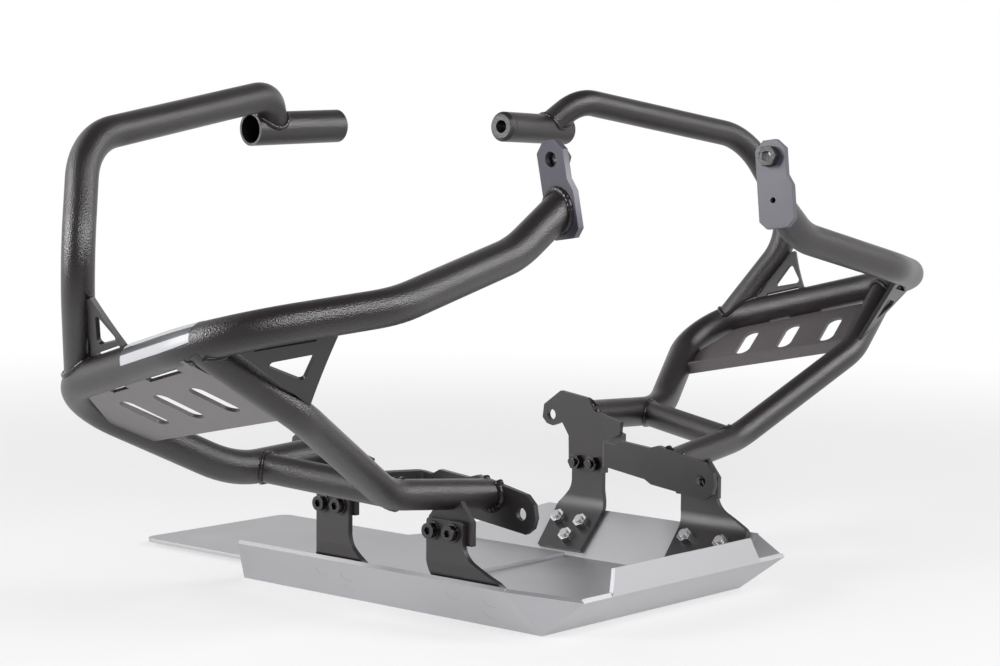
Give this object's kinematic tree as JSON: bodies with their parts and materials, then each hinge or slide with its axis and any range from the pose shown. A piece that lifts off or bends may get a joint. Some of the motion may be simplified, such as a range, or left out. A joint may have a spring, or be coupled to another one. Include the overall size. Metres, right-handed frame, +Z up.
{
  "type": "motorcycle crash bars",
  "caption": "Pair of welded tube crash bars for a motorcycle, with mount plates, gussets and hangers that carry a folded aluminium skid plate under the engine.",
  "frame": {"origin": "on the floor under the set, at the middle of its width and length", "axes": "+X to the motorcycle's right, seen from behind; +Y to its front; +Z up"},
  "size_m": [0.9566, 0.592, 0.4474],
  "materials": {
    "powder_coat": "fine-grain satin black powder coat on steel",
    "bracket_coat": "smooth satin black coat on steel plate",
    "skid_aluminium": "blasted and clear anodised aluminium sheet",
    "black_fasteners": "black oxide steel",
    "zinc_fasteners": "bright zinc-plated steel"
  },
  "bodies": {
    "root": {"left_cross_tube": "powder_coat", "left_diagonal_tube": "powder_coat", "left_flange_studs": "zinc_fasteners", "left_front_hanger": "bracket_coat", "left_guard_plate": "powder_coat", "left_hanger_bolts": "black_fasteners", "left_hanger_nuts": "black_fasteners", "left_hanger_washers": "black_fasteners", "left_loop_gusset": "powder_coat", "left_lower_mount_bracket": "bracket_coat", "left_main_tube": "powder_coat", "left_mount_nut": "powder_coat", "left_rear_hanger": "bracket_coat", "left_rear_hanger_tab": "bracket_coat", "left_side_gusset": "powder_coat", "left_stub_plug": "powder_coat", "left_stub_tube": "powder_coat", "left_stud_nuts": "zinc_fasteners", "left_upper_loop_tube": "powder_coat", "left_upper_mount_plate": "bracket_coat", "right_cross_tube": "powder_coat", "right_diagonal_tube": "powder_coat", "right_flange_studs": "zinc_fasteners", "right_front_hanger": "bracket_coat", "right_guard_plate": "powder_coat", "right_hanger_bolts": "black_fasteners", "right_hanger_nuts": "black_fasteners", "right_hanger_washers": "black_fasteners", "right_loop_gusset": "powder_coat", "right_lower_mount_bracket": "bracket_coat", "right_main_tube": "powder_coat", "right_mount_nut": "powder_coat", "right_rear_hanger": "bracket_coat", "right_rear_hanger_tab": "bracket_coat", "right_side_gusset": "powder_coat", "right_stub_plug": "powder_coat", "right_stub_tube": "powder_coat", "right_stud_nuts": "zinc_fasteners", "right_upper_loop_tube": "powder_coat", "right_upper_mount_plate": "bracket_coat", "skid_front_sheet": "skid_aluminium", "skid_pan": "skid_aluminium"}
  },
  "joints": []
}
